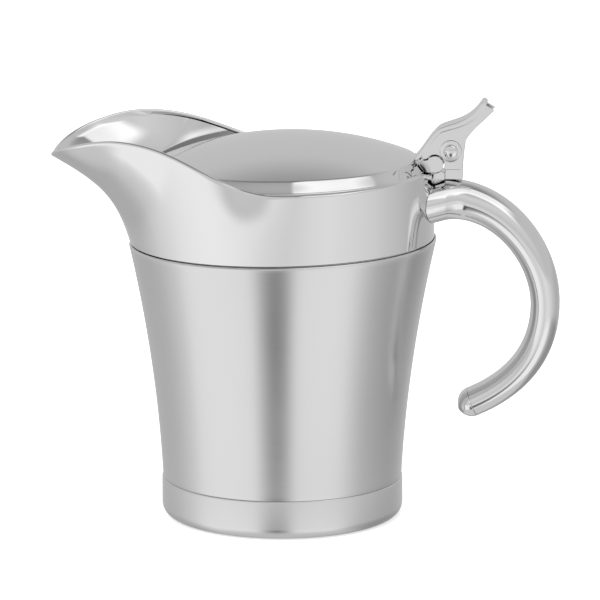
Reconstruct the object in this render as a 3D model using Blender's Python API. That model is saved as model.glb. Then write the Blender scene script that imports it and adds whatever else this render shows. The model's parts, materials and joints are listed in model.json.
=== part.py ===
"""Double-walled steel gravy boat with a hinged lid, as separate solids in one frame.

Metres, +Z up. The body axis is the Z axis and the table is z = 0. The spout points to
-X and the handle to +X, so y = 0 is the plane of symmetry.
"""

import math

import bmesh
import bpy
from mathutils import Vector

# Clearance between neighbouring pieces, sheet of the drawn walls, and sides of a turned piece
FIT = 0.0003
SHEET = 0.0008
AROUND = 52
ROUND_CORNER = 1.0 - math.sqrt(0.5)

# Finishes: colour and roughness
SATIN = ((0.62, 0.62, 0.62), 0.32)
MIRROR = ((0.78, 0.78, 0.78), 0.06)
CAST = ((0.72, 0.72, 0.72), 0.12)

# Outer shell and its pressed base
CREASE_Z = 0.0140
SHELL_FOOT_R = 0.0420
SHELL_TOP_R = 0.0539
SHELL_BOW = 0.62
SEAM_Z = 0.0983
SEAM_TILT = 0.0192
SHOULDER_R = 0.0006
NECK_DEPTH = 0.0045
CAP_SHEET = 0.0009
CAP_R = SHELL_FOOT_R + 0.00035
CAP_CORNER = 0.00445
CAP_CORNER_Z = 0.0042
CAP_EDGE = 0.00036

# Inner cup
AIR_GAP = 0.0034
CUP_FLOOR_Z = 0.0075
CUP_CORNER_R = 0.0075
CUP_TOP_Z = SEAM_Z - 0.0023
CUP_FLARE_HIGH = SEAM_Z - 0.0093
CUP_FLARE_LOW = SEAM_Z - 0.0183

# Spout collar
COLLAR_SHEET = 0.0009
COLLAR_R = SHELL_TOP_R - 0.0007
SKIRT_Z = SEAM_Z - 0.0078
BEAD_R = 0.00085
RIM_R = COLLAR_R - 0.0002
WAIST_R = RIM_R - 0.0035
WAIST_FROM = math.radians(75.0)
WAIST_TO = math.radians(110.0)
LIP_LENGTH = COLLAR_R + 0.0263
LIP_HALF_WIDTH = COLLAR_R - 0.0154
LIP_POWER = 2.68
LIP_BLEND = 6.3
RIM_Z_LOW = SEAM_Z + 0.0240
RIM_Z_BACK = SEAM_Z + 0.0260
RIM_Z_CHEEK = SEAM_Z + 0.0382
RIM_Z_TIP = SEAM_Z + 0.0287
LOW_ANGLE = math.radians(88.0)
CHEEK_ANGLE = math.radians(147.5)
# Shares of the way out and up at the two inner points of the collar's curve
FLARE_START = (0.18, 0.52)
FLARE_END = (0.38, 0.68)
BEAD_TUCK = 0.0003

# Lid
LID_SHEET = 0.0009
LID_X = 0.0015
BRIM_R = RIM_R - 0.0046
BRIM_WIDTH = 0.0032
BRIM_DROP = 0.0035
BRIM_EDGE = 0.0005
DOME_R = BRIM_R - BRIM_WIDTH
DOME_RISE = 0.0088
LID_EDGE_Z = RIM_Z_LOW + 0.0043
LID_SKIRT = 0.0068
LID_STEP = 0.0003

# Hinge: the pin, and what it passes through
PIVOT_X = RIM_R + 0.0061
PIVOT_Z = RIM_Z_BACK + 0.0067
PIN_R = 0.0015
HEAD_R = PIN_R + 0.00095
HEAD_EDGE = 0.0005
HEAD_RISE = 0.0016
WASHER_R = PIN_R + 0.0023
WASHER_THICK = 0.0006
POST_HALF = 0.0026
POST_TOP_R = PIN_R + 0.0025
POST_FRONT_X = PIVOT_X - 0.0021
POST_BACK_X = PIVOT_X + 0.0040
POST_FROM = math.radians(20.0)
POST_TO = math.radians(215.0)
CHEEK_THICK = 0.0018
CHEEK_FLOOR_Z = PIVOT_Z - 0.0066
WEB_HALF = 0.0056
WEB_FRONT_THICK = 0.0014
WEB_BACK_THICK = 0.0022
WEB_LIFT = 0.00052
PAD_DEPTH = 0.0032
LEVER_EDGE = 0.0004
LOBE_R = 0.0029
LOBE_ANGLE = math.radians(220.5)
LOBE_REACH = POST_TOP_R + LOBE_R + 1.1 * FIT
LOBE_X = PIVOT_X + LOBE_REACH * math.cos(LOBE_ANGLE)
LOBE_Z = PIVOT_Z + LOBE_REACH * math.sin(LOBE_ANGLE)
LOBE_GAP = 1.3 * FIT
LOBE_FROM = math.radians(-90.0)
LOBE_TO = math.radians(150.0)
NOTCH_FROM = math.radians(-10.0)
NOTCH_TO = math.radians(148.0)
NAPE_X = 0.0013
NAPE_Z = 0.0012
BRACKET_HALF = 0.0052
SEAT_LENGTH = 0.0020
SEAT_GAP = 1.5 * FIT
BRACKET_EDGE = 0.0003
SLOT_WIDTH = 0.0011
SLOT_LENGTH = 0.0026
SLOT_DEPTH = 0.0012
SLOT_INSET = 0.0008
SLOT_TOP = 0.0006
BRACE_HALF = 0.0042
BRACE_GAP = 1.5 * FIT
BRACE_SHOULDER = 0.0009
BRACE_FROM = math.radians(-48.0)
BRACE_TO = math.radians(-88.0)
PLATE_EDGE = 0.0002

# Notch in the rim that lets the bracket's lobe down between its sides
NOTCH_FLOOR_Z = LOBE_Z - LOBE_R - FIT - BEAD_R
NOTCH_FLAT = math.radians(7.0)
NOTCH_ANGLE = math.radians(20.0)

# Lever, as X and Z from the pivot: its web's curve, its cheeks' corners and the thumb pad
WEB_TOE_X = -0.0128
WEB_RISE = (-0.0096, 0.0008)
WEB_SWELL = (-0.0076, 0.0052)
WEB_KNEE = (-0.0043, 0.0078)
WEB_CREST = (-0.0001, 0.0101)
WEB_DIP = (0.0059, 0.0098)
PAD_TIP = (0.0103, 0.0171)
PAD_HOLLOW = (0.0096, 0.0090)
CHEEK_BACK = ((0.0056, 0.0059), (0.0048, 0.0025), (0.0043, -0.0012))
CHEEK_HEEL_X = 0.0040
CHEEK_TOE_X = 0.0032
CHEEK_FRONT_X = -0.0024

# Handle: control points of its centre line, then its section
ROOT_X = COLLAR_R - 0.0022
ROOT_Z = SEAM_Z + 0.0140
CREST_X = COLLAR_R + 0.0190
CREST_Z = SEAM_Z + 0.0202
BACK_X = COLLAR_R + 0.0390
BACK_TOP_Z = SEAM_Z - 0.0003
BACK_MID_Z = SEAM_Z - 0.0216
BACK_LOW_Z = SEAM_Z - 0.0363
HEEL_X = COLLAR_R + 0.0316
HEEL_Z = SEAM_Z - 0.0491
TIP_X = COLLAR_R + 0.0140
TIP_Z = SEAM_Z - 0.0569
TUBE_HALF_THICK = 0.00515
TUBE_HALF_WIDTH = 0.0080
ROOT_HALF_WIDTH = 0.0145
ROOT_HALF_THICK = 0.0075
TAPER_POWER = 1.3
ROOT_BLEND = 0.22
TUBE_SHEET = 0.0010
COPE_GAP = 2.0 * FIT
PLUG_LENGTH = 0.0040
PLUG_GAP = 1.6 * FIT
ROOT_STOPS = (0.11, 0.15, 0.19, 0.25, 0.32)
TUBE_ROWS = 17
TUBE_AROUND = 18
PIN_AROUND = 24


def smoothstep(t):
    t = min(max(t, 0.0), 1.0)
    return t * t * (3.0 - 2.0 * t)


def mix(a, b, t):
    return a + (b - a) * t


def bezier(points, t):
    """Point and unit tangent of a planar cubic at t."""
    a, b, c, d = (Vector(p) for p in points)
    s = 1.0 - t
    place = a * s**3 + b * 3 * s * s * t + c * 3 * s * t * t + d * t**3
    slope = (b - a) * s * s + (c - b) * 2 * s * t + (d - c) * t * t
    return place, slope.normalized()


def clear_scene():
    for obj in list(bpy.data.objects):
        bpy.data.objects.remove(obj, do_unlink=True)


def steel(name, colour, roughness):
    material = bpy.data.materials.new(name)
    material.use_nodes = True
    shader = material.node_tree.nodes["Principled BSDF"]
    shader.inputs["Base Color"].default_value = (*colour, 1.0)
    shader.inputs["Metallic"].default_value = 1.0
    shader.inputs["Roughness"].default_value = roughness
    return material


def add_mesh(name, verts, faces, material, origin=(0.0, 0.0, 0.0), sharp=35.0):
    mesh = bpy.data.meshes.new(name)
    base = Vector(origin)
    mesh.from_pydata([Vector(v) - base for v in verts], [], faces)
    work = bmesh.new()
    work.from_mesh(mesh)
    bmesh.ops.recalc_face_normals(work, faces=work.faces)
    work.to_mesh(mesh)
    work.free()
    mesh.materials.append(material)
    for face in mesh.polygons:
        face.use_smooth = True
    mesh.set_sharp_from_angle(angle=math.radians(sharp))
    obj = bpy.data.objects.new(name, mesh)
    obj.location = base
    bpy.context.scene.collection.objects.link(obj)
    return obj


def helper(obj):
    obj.hide_render = True
    obj.display_type = "WIRE"
    return obj


def boolean(obj, other, operation):
    modifier = obj.modifiers.new(operation.lower(), "BOOLEAN")
    modifier.operation = operation
    modifier.solver = "EXACT"
    modifier.object = other


def ring_faces(rings, size, wrap):
    """Quads between neighbouring rings of the same size."""
    faces = []
    for i in range(rings if wrap else rings - 1):
        j = (i + 1) % rings
        for k in range(size):
            m = (k + 1) % size
            faces.append((i * size + k, j * size + k, j * size + m, i * size + m))
    return faces


def sweep_sections(name, sections, material):
    """A closed band: one closed section per angle, joined all the way round."""
    verts = [p for section in sections for p in section]
    return add_mesh(name, verts, ring_faces(len(sections), len(sections[0]), True), material)


def angles():
    return [2.0 * math.pi * i / AROUND for i in range(AROUND)]


def polar(angle, radius, z, centre_x=0.0):
    return (centre_x + radius * math.cos(angle), radius * math.sin(angle), z)


def disc_lathe(name, profile, material, centre_x=0.0, tilt=0.0):
    """A turned piece whose profile starts and ends on the axis."""
    count = len(profile) - 2
    rows = profile[1:-1]
    verts = []
    for angle in angles():
        for radius, z in rows:
            x, y, z = polar(angle, radius, z, centre_x)
            verts.append((x, y, z + tilt * x))
    faces = []
    for i in range(AROUND):
        j = (i + 1) % AROUND
        for k in range(count - 1):
            faces.append((i * count + k, j * count + k, j * count + k + 1, i * count + k + 1))
    poles = (profile[0][1], profile[-1][1])
    for z, row in zip(poles, (0, count - 1)):
        pole = len(verts)
        verts.append((centre_x, 0.0, z + tilt * centre_x))
        for i in range(AROUND):
            faces.append((pole, i * count + row, (i + 1) % AROUND * count + row))
    return add_mesh(name, verts, faces, material)


def prism(name, outline, half, material, y=0.0, edge=0.0, origin=(0.0, 0.0, 0.0)):
    """A plate from a closed XZ outline, from y - half to y + half, its rims chamfered."""
    size = len(outline)
    area = 0.0
    for i in range(size):
        x0, z0 = outline[i]
        x1, z1 = outline[(i + 1) % size]
        area += x0 * z1 - x1 * z0
    side = 1.0 if area > 0.0 else -1.0
    inset = []
    for i in range(size):
        before = (Vector(outline[i]) - Vector(outline[i - 1])).normalized()
        after = (Vector(outline[(i + 1) % size]) - Vector(outline[i])).normalized()
        inward = Vector((-(before.y + after.y), before.x + after.x)) * side
        turn = max(1.0 + before.dot(after), 0.5)
        inset.append(Vector(outline[i]) + inward * (edge / turn))
    rows = [(-half, inset), (-half + edge, outline), (half - edge, outline), (half, inset)]
    if edge == 0.0:
        rows = [(-half, outline), (half, outline)]
    verts = []
    for depth, loop in rows:
        verts += [(x, y + depth, z) for x, z in loop]
    faces = ring_faces(len(rows), size, False)
    faces.append(tuple(range(size)))
    faces.append(tuple(range((len(rows) - 1) * size, len(rows) * size)))
    return add_mesh(name, verts, faces, material, origin)


def disc_outline(x, z, radius, steps):
    loop = []
    for i in range(steps):
        angle = 2.0 * math.pi * i / steps
        loop.append((x + radius * math.cos(angle), z + radius * math.sin(angle)))
    return loop


def shell_radius(z):
    """Outer radius of the tapered shell, which widens faster towards its top."""
    t = (z - CREASE_Z) / (SEAM_Z - CREASE_Z)
    return mix(SHELL_FOOT_R, SHELL_TOP_R, mix(t, t * t, SHELL_BOW))


def shell_inside(z):
    return shell_radius(z) - SHEET


def seam_height(angle):
    return SEAM_Z + SEAM_TILT * COLLAR_R * math.cos(angle)


def make_shell(material):
    cap_inside = CAP_R - CAP_SHEET
    neck = cap_inside - FIT
    levels = 6
    sections = []
    for angle in angles():
        top = seam_height(angle)
        crown = shell_radius(top)
        loop = [(neck - SHEET, CREASE_Z - NECK_DEPTH), (neck, CREASE_Z - NECK_DEPTH)]
        loop.append((neck, CREASE_Z))
        loop.append((SHELL_FOOT_R, CREASE_Z))
        for i in range(1, levels + 1):
            z = mix(CREASE_Z, top - SHOULDER_R, i / levels)
            loop.append((shell_radius(z), z))
        corner = ROUND_CORNER * SHOULDER_R
        loop.append((crown - corner, top - corner))
        loop.append((crown - SHOULDER_R, top))
        loop.append((shell_inside(top), top))
        for i in range(levels, -1, -1):
            z = mix(CREASE_Z + SHEET, top - SHOULDER_R, i / levels)
            loop.append((shell_inside(z), z))
        loop.append((neck - SHEET, CREASE_Z + SHEET))
        sections.append([polar(angle, r, z) for r, z in loop])
    return sweep_sections("outer_shell", sections, material)


def make_base_cap(material):
    top = CREASE_Z - FIT
    floor = CAP_R - CAP_CORNER
    corner = CAP_CORNER_Z
    inner_corner = corner - CAP_SHEET
    profile = [(0.0, 0.0)]
    steps = 5
    for i in range(steps + 1):
        turn = math.pi / 2 * i / steps
        radius = mix(floor, CAP_R, math.sin(turn))
        profile.append((radius, corner * (1.0 - math.cos(turn))))
    profile.append((CAP_R, top - CAP_EDGE))
    profile.append((CAP_R - CAP_EDGE, top))
    profile.append((CAP_R - CAP_SHEET, top))
    for i in range(steps, -1, -1):
        turn = math.pi / 2 * i / steps
        radius = mix(floor, CAP_R - CAP_SHEET, math.sin(turn))
        profile.append((radius, CAP_SHEET + inner_corner * (1.0 - math.cos(turn))))
    profile.append((0.0, CAP_SHEET))
    return disc_lathe("base_cap", profile, material)


def cup_radius(z):
    """Outer radius of the cup: an air gap inside the shell, then out to the collar skirt."""
    low = shell_inside(z) - AIR_GAP
    high = shell_inside(z) - FIT - COLLAR_SHEET - FIT
    t = (z - CUP_FLARE_LOW) / (CUP_FLARE_HIGH - CUP_FLARE_LOW)
    return mix(low, high, smoothstep(t))


def make_cup(material):
    wall_from = CUP_FLOOR_Z + CUP_CORNER_R
    heights = [mix(wall_from, CUP_FLARE_LOW, i / 3) for i in range(4)]
    heights += [mix(CUP_FLARE_LOW, CUP_FLARE_HIGH, i / 4) for i in range(1, 5)]
    heights.append(CUP_TOP_Z)
    profile = [(0.0, CUP_FLOOR_Z)]
    steps = 5
    side = cup_radius(wall_from)
    for i in range(steps):
        turn = math.pi / 2 * i / steps
        radius = side - CUP_CORNER_R * (1.0 - math.sin(turn))
        profile.append((radius, CUP_FLOOR_Z + CUP_CORNER_R * (1.0 - math.cos(turn))))
    profile += [(cup_radius(z), z) for z in heights]
    profile += [(cup_radius(z) - SHEET, z) for z in reversed(heights)]
    inner_corner = CUP_CORNER_R - SHEET
    for i in range(steps - 1, -1, -1):
        turn = math.pi / 2 * i / steps
        radius = side - SHEET - inner_corner * (1.0 - math.sin(turn))
        rise = inner_corner * (1.0 - math.cos(turn))
        profile.append((radius, CUP_FLOOR_Z + SHEET + rise))
    profile.append((0.0, CUP_FLOOR_Z + SHEET))
    return disc_lathe("inner_cup", profile, material)


def rim_radius(angle):
    """Plan of the rim: a round bowl that runs into a broad, blunt lip."""
    turn = abs(math.remainder(angle, 2.0 * math.pi))
    waist = smoothstep((turn - WAIST_FROM) / (WAIST_TO - WAIST_FROM))
    bowl = mix(RIM_R, WAIST_R, waist)
    along = abs(math.cos(turn)) / LIP_LENGTH
    across = abs(math.sin(turn)) / LIP_HALF_WIDTH
    lip = waist * (along**LIP_POWER + across**LIP_POWER) ** (-1.0 / LIP_POWER)
    return (bowl**LIP_BLEND + lip**LIP_BLEND) ** (1.0 / LIP_BLEND)


def rim_height(angle):
    """Height of the rim: low at the sides, high at the spout cheeks, notched at the hinge."""
    turn = abs(math.remainder(angle, 2.0 * math.pi))
    if turn < LOW_ANGLE:
        ramp = smoothstep((turn - NOTCH_FLAT) / (NOTCH_ANGLE - NOTCH_FLAT))
        side = mix(RIM_Z_BACK, RIM_Z_LOW, smoothstep(turn / LOW_ANGLE))
        return mix(min(NOTCH_FLOOR_Z, side), side, ramp)
    if turn < CHEEK_ANGLE:
        t = (turn - LOW_ANGLE) / (CHEEK_ANGLE - LOW_ANGLE)
        return mix(RIM_Z_LOW, RIM_Z_CHEEK, smoothstep(t))
    t = (turn - CHEEK_ANGLE) / (math.pi - CHEEK_ANGLE)
    return mix(RIM_Z_CHEEK, RIM_Z_TIP, smoothstep(t))


def collar_curve(angle):
    """Outer curve of the collar from the seam to the rim, as a planar cubic."""
    start = Vector((COLLAR_R, seam_height(angle) + FIT))
    end = Vector((rim_radius(angle), rim_height(angle)))
    out = end.x - start.x
    rise = end.y - start.y
    first = start + Vector((FLARE_START[0] * out, FLARE_START[1] * rise))
    second = start + Vector((FLARE_END[0] * out, FLARE_END[1] * rise))
    return (start, first, second, end)


def collar_section(angle):
    curve = collar_curve(angle)
    seam = seam_height(angle) + FIT
    steps = 7
    outer = []
    inner = []
    for i in range(steps + 1):
        place, along = bezier(curve, i / steps)
        outward = Vector((along.y, -along.x))
        outer.append(place)
        inner.append(place - outward * COLLAR_SHEET)
    skirt = [SKIRT_Z, mix(SKIRT_Z, seam, 0.5), seam]
    loop = [Vector((shell_inside(z) - FIT, z)) for z in skirt]
    loop += outer
    place, along = bezier(curve, 1.0)
    outward = Vector((along.y, -along.x))
    hub = place - outward * BEAD_R
    for i in range(1, 5):
        turn = math.pi * i / 5
        loop.append(hub + outward * (BEAD_R * math.cos(turn)) + along * (BEAD_R * math.sin(turn)))
    loop.append(hub - outward * BEAD_R - along * BEAD_TUCK)
    loop += reversed(inner[:-1])
    loop += [Vector((shell_inside(z) - FIT - COLLAR_SHEET, z)) for z in (skirt[1], skirt[0])]
    return [polar(angle, p.x, p.y) for p in loop]


def make_collar(material):
    return sweep_sections("spout_collar", [collar_section(a) for a in angles()], material)


def dome_height(radius):
    """Rise of the dome above its edge: a spherical cap."""
    ball = (DOME_R**2 + DOME_RISE**2) / (2.0 * DOME_RISE)
    return math.sqrt(ball * ball - radius * radius) - (ball - DOME_RISE)


def make_lid(material):
    rows = 7
    top = []
    for i in range(rows + 1):
        radius = DOME_R * i / rows
        top.append((radius, LID_EDGE_Z + dome_height(radius)))
    brim_z = LID_EDGE_Z - BRIM_DROP
    bottom = LID_EDGE_Z - LID_SKIRT
    top.append((BRIM_R - BRIM_EDGE, brim_z))
    top.append((BRIM_R, brim_z - BRIM_EDGE))
    top.append((BRIM_R, bottom))
    inside = [(BRIM_R - LID_SHEET, bottom), (BRIM_R - LID_SHEET, brim_z - LID_SHEET)]
    for i in range(rows, -1, -1):
        radius = (DOME_R - LID_STEP) * i / rows
        inside.append((radius, LID_EDGE_Z + dome_height(radius) - LID_SHEET))
    return disc_lathe("lid_dome", top + inside, material, LID_X, SEAM_TILT)


def lid_top(x):
    """Height of the lid's upper face in the plane of symmetry."""
    radius = abs(x - LID_X)
    if radius < DOME_R:
        return LID_EDGE_Z + dome_height(radius) + SEAM_TILT * x
    t = min((radius - DOME_R) / (BRIM_WIDTH - BRIM_EDGE), 1.0)
    return LID_EDGE_Z - BRIM_DROP * t + SEAM_TILT * x


def handle_curves():
    upper = ((ROOT_X, ROOT_Z), (CREST_X, CREST_Z), (BACK_X, BACK_TOP_Z), (BACK_X, BACK_MID_Z))
    lower = ((BACK_X, BACK_MID_Z), (BACK_X, BACK_LOW_Z), (HEEL_X, HEEL_Z), (TIP_X, TIP_Z))
    return upper, lower


def handle_frame(t):
    """Centre and tangent of the handle at t from 0 at the root to 2 at the tip."""
    upper, lower = handle_curves()
    if t <= 1.0:
        return bezier(upper, t)
    return bezier(lower, t - 1.0)


def half_thick(t):
    """Half the handle's thickness at t, which falls off from the root to the back."""
    return mix(TUBE_HALF_THICK, ROOT_HALF_THICK, max(1.0 - t, 0.0) ** TAPER_POWER)


def handle_top(x):
    """Height of the handle's upper face above x, between its root and its crest."""
    low, high = 0.0, 0.8
    for _ in range(40):
        middle = 0.5 * (low + high)
        if handle_frame(middle)[0].x < x:
            low = middle
        else:
            high = middle
    place, along = handle_frame(low)
    return place.y + half_thick(low) / along.x


def collar_face(y, z):
    """X of the collar's outer face at this y and z, on the handle side."""
    x = COLLAR_R
    for _ in range(12):
        angle = math.atan2(y, x)
        curve = collar_curve(angle)
        low, high = 0.0, 1.0
        for _ in range(30):
            middle = 0.5 * (low + high)
            if bezier(curve, middle)[0].y < z:
                low = middle
            else:
                high = middle
        radius = bezier(curve, low)[0].x
        x = math.sqrt(radius * radius - y * y)
    return x


def handle_ring(t, shrink):
    place, along = handle_frame(t)
    normal = Vector((-along.y, along.x))
    blend = smoothstep(t / ROOT_BLEND)
    wide = mix(ROOT_HALF_WIDTH, TUBE_HALF_WIDTH, blend) - shrink
    thick = half_thick(t) - shrink
    ring = []
    for k in range(TUBE_AROUND):
        turn = 2.0 * math.pi * k / TUBE_AROUND
        p = place + normal * (thick * math.sin(turn))
        ring.append((p.x, wide * math.cos(turn), p.y))
    return ring


def cope(ring, clearance):
    """The ring slid along X until it lies just clear of the collar."""
    return [(collar_face(y, z) + clearance, y, z) for x, y, z in ring]


def make_handle(material):
    """Bent tube, open where it meets the collar and at its lower end."""
    stops = list(ROOT_STOPS)
    stops += [mix(ROOT_STOPS[-1], 2.0, (i + 1) / TUBE_ROWS) for i in range(TUBE_ROWS)]
    outer = [handle_ring(t, 0.0) for t in stops]
    inner = [handle_ring(t, TUBE_SHEET) for t in stops]
    root = handle_ring(0.0, 0.0)
    root_inner = handle_ring(0.0, TUBE_SHEET)
    slope = COPE_GAP / math.cos(math.asin(ROOT_HALF_WIDTH / COLLAR_R))
    outer = [cope(root, slope)] + outer
    inner = [cope(root_inner, slope)] + inner
    rings = outer + inner[::-1]
    verts = [p for ring in rings for p in ring]
    faces = ring_faces(len(rings), TUBE_AROUND, True)
    return add_mesh("handle_tube", verts, faces, material)


def make_end_cap(material):
    """Domed plug that closes the lower end of the handle."""
    around = TUBE_AROUND
    place, along = handle_frame(2.0)
    normal = Vector((-along.y, along.x))
    rows = []
    plug = TUBE_SHEET + PLUG_GAP
    wide = TUBE_HALF_WIDTH
    thick = TUBE_HALF_THICK
    rows.append((-PLUG_LENGTH, wide - plug, thick - plug))
    rows.append((FIT, wide - plug, thick - plug))
    rows.append((FIT, wide, thick))
    steps = 5
    for i in range(1, steps):
        turn = math.pi / 2 * i / steps
        fall = math.cos(turn)
        reach = FIT + TUBE_HALF_THICK * math.sin(turn)
        rows.append((reach, wide - thick * (1.0 - fall), thick * fall))
    verts = []
    for reach, half_width, half_thick in rows:
        for k in range(around):
            turn = 2.0 * math.pi * k / around
            p = place + along * reach + normal * (half_thick * math.sin(turn))
            verts.append((p.x, half_width * math.cos(turn), p.y))
    faces = ring_faces(len(rows), around, False)
    faces.append(tuple(range(around)))
    faces.append(tuple(range((len(rows) - 1) * around, len(rows) * around)))
    return add_mesh("handle_end_cap", verts, faces, material)


def from_pivot(points):
    return [(PIVOT_X + x, PIVOT_Z + z) for x, z in points]


def web_line():
    """Upper face of the lever's web, from the lid up and back to the thumb pad."""
    toe_x = PIVOT_X + WEB_TOE_X
    first = [(toe_x, lid_top(toe_x) + WEB_LIFT)] + from_pivot([WEB_RISE, WEB_SWELL, WEB_KNEE])
    second = from_pivot([WEB_KNEE, WEB_CREST, WEB_DIP, PAD_TIP])
    line = [bezier(first, i / 6) for i in range(7)]
    line += [bezier(second, i / 8) for i in range(1, 9)]
    return line


def web_under(share):
    """The web's line sunk into its thickness: share 1 is its lower face."""
    line = web_line()
    under = []
    for i, (place, along) in enumerate(line):
        thick = mix(WEB_FRONT_THICK, WEB_BACK_THICK, smoothstep(i / (len(line) - 1)))
        under.append(place + Vector((along.y, -along.x)) * (thick * share))
    return under


def web_outline():
    line = web_line()
    under = web_under(1.0)
    place, along = line[-1]
    nose = 0.5 * (place + under[-1]) + along * (0.5 * WEB_BACK_THICK)
    return [tuple(p) for p, _ in line] + [tuple(nose)] + [tuple(p) for p in reversed(under)]


def cheek_outline():
    """Side plate of the lever, notched round the bracket's lobe."""
    loop = [tuple(p) for p in web_under(0.5)[1:]]
    heel = web_under(1.0)[-1]
    along = web_line()[-1][1]
    heel = heel + Vector((along.y, -along.x)) * PAD_DEPTH
    loop.append(tuple(heel))
    loop += from_pivot([PAD_HOLLOW, *CHEEK_BACK])
    chamfer = CHEEK_HEEL_X - CHEEK_TOE_X
    loop.append((PIVOT_X + CHEEK_HEEL_X, CHEEK_FLOOR_Z + chamfer))
    loop.append((PIVOT_X + CHEEK_TOE_X, CHEEK_FLOOR_Z))
    loop.append((PIVOT_X + CHEEK_FRONT_X, CHEEK_FLOOR_Z))
    notch = LOBE_R + LOBE_GAP
    for i in range(8):
        turn = mix(NOTCH_FROM, NOTCH_TO, i / 7)
        loop.append((LOBE_X + notch * math.cos(turn), LOBE_Z + notch * math.sin(turn)))
    nape_x, nape_z = bracket_outline()[-1]
    loop.append((nape_x, nape_z + LOBE_GAP))
    return loop


def make_lever(material):
    pivot = (PIVOT_X, 0.0, PIVOT_Z)
    outline = web_outline()
    lever = prism("thumb_lever", outline, WEB_HALF, material, edge=LEVER_EDGE, origin=pivot)
    middle = POST_HALF + FIT + 0.5 * CHEEK_THICK
    for side, label in ((-1.0, "near"), (1.0, "far")):
        half = 0.5 * CHEEK_THICK
        cheek = prism(f"cheek_{label}", cheek_outline(), half, material, y=side * middle)
        boolean(lever, helper(cheek), "UNION")
    bore = disc_outline(PIVOT_X, PIVOT_Z, PIN_R + FIT, PIN_AROUND)
    drill = prism("lever_drill", bore, 2.0 * WEB_HALF, material)
    boolean(lever, helper(drill), "DIFFERENCE")
    return lever


def bracket_outline():
    """Tab from the lid's brim over the rim to a round lobe behind the lever."""
    side = math.asin(BRACKET_HALF / RIM_R)
    rim_top = max(rim_height(0.0), rim_height(side)) + BEAD_R + FIT
    brim_x = LID_X + BRIM_R
    seat = brim_x - SEAT_LENGTH
    loop = [(seat, lid_top(seat) + SEAT_GAP)]
    loop.append((brim_x - BRIM_EDGE, lid_top(brim_x - BRIM_EDGE) + SEAT_GAP))
    loop.append((brim_x + FIT, lid_top(brim_x) - 0.5 * BRIM_EDGE))
    loop.append((brim_x + FIT, rim_top))
    loop.append((mix(brim_x, LOBE_X, 0.5), rim_top))
    for i in range(13):
        turn = mix(LOBE_FROM, LOBE_TO, i / 12)
        loop.append((LOBE_X + LOBE_R * math.cos(turn), LOBE_Z + LOBE_R * math.sin(turn)))
    loop.append((seat + NAPE_X, LOBE_Z + NAPE_Z))
    return loop


def make_bracket(material):
    pivot = (PIVOT_X, 0.0, PIVOT_Z)
    outline = bracket_outline()
    edge = BRACKET_EDGE
    bracket = prism("lid_bracket", outline, BRACKET_HALF, material, edge=edge, origin=pivot)
    x1 = LOBE_X - LOBE_R + SLOT_INSET
    x0 = x1 - SLOT_WIDTH
    z1 = LOBE_Z + SLOT_TOP
    z0 = z1 - SLOT_LENGTH
    slot = [(x0, z0), (x1, z0), (x1, z1), (x0, z1)]
    for side, label in ((-1.0, "near"), (1.0, "far")):
        cutter = prism(f"slot_{label}", slot, SLOT_DEPTH, material, y=side * BRACKET_HALF)
        boolean(bracket, helper(cutter), "DIFFERENCE")
    return bracket


def make_post(material):
    foot = max(handle_top(POST_FRONT_X), handle_top(POST_BACK_X)) + FIT
    loop = [(POST_FRONT_X, foot), (POST_BACK_X, foot), (POST_BACK_X, PIVOT_Z)]
    reach = POST_TOP_R
    for i in range(11):
        turn = mix(POST_FROM, POST_TO, i / 10)
        loop.append((PIVOT_X + reach * math.cos(turn), PIVOT_Z + reach * math.sin(turn)))
    loop.append((POST_FRONT_X, PIVOT_Z - reach - FIT))
    post = prism("hinge_post", loop, POST_HALF, material, edge=PLATE_EDGE)
    bore = disc_outline(PIVOT_X, PIVOT_Z, PIN_R + FIT, PIN_AROUND)
    boolean(post, helper(prism("post_drill", bore, 2.0 * POST_HALF, material)), "DIFFERENCE")
    return post


def make_brace(material):
    """Block in the corner between the collar, the post and the root of the handle."""
    face = POST_FRONT_X - FIT
    floor = handle_top(face) + FIT
    toe = collar_face(0.0, floor) + BRACE_GAP
    reach = LOBE_R + 2.0 * FIT
    arc = []
    for i in range(7):
        turn = mix(BRACE_FROM, BRACE_TO, i / 6)
        arc.append((LOBE_X + reach * math.cos(turn), LOBE_Z + reach * math.sin(turn)))
    loop = [(toe, floor), (face, floor), (face, arc[0][1] - BRACE_SHOULDER)] + arc
    loop.append((toe, arc[-1][1] - 0.5 * FIT))
    return prism("post_brace", loop, BRACE_HALF, material, edge=PLATE_EDGE)


def make_pin(material):
    """Rivet with a domed head at each end, turned about the hinge axis."""
    around = PIN_AROUND
    head_from = POST_HALF + FIT + CHEEK_THICK + FIT + WASHER_THICK + FIT
    half = [(PIN_R, head_from), (HEAD_R, head_from), (HEAD_R, head_from + HEAD_EDGE)]
    steps = 4
    for i in range(1, steps):
        turn = math.pi / 2 * i / steps
        rise = mix(HEAD_EDGE, HEAD_RISE, math.sin(turn))
        half.append((HEAD_R * math.cos(turn), head_from + rise))
    rows = [(r, -y) for r, y in reversed(half)] + half
    verts = []
    for radius, y in rows:
        for k in range(around):
            turn = 2.0 * math.pi * k / around
            x = PIVOT_X + radius * math.cos(turn)
            verts.append((x, y, PIVOT_Z + radius * math.sin(turn)))
    faces = ring_faces(len(rows), around, False)
    for row, y in ((0, -head_from - HEAD_RISE), (len(rows) - 1, head_from + HEAD_RISE)):
        pole = len(verts)
        verts.append((PIVOT_X, y, PIVOT_Z))
        for k in range(around):
            faces.append((pole, row * around + k, row * around + (k + 1) % around))
    return add_mesh("hinge_pin", verts, faces, material, (PIVOT_X, 0.0, PIVOT_Z))


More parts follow.
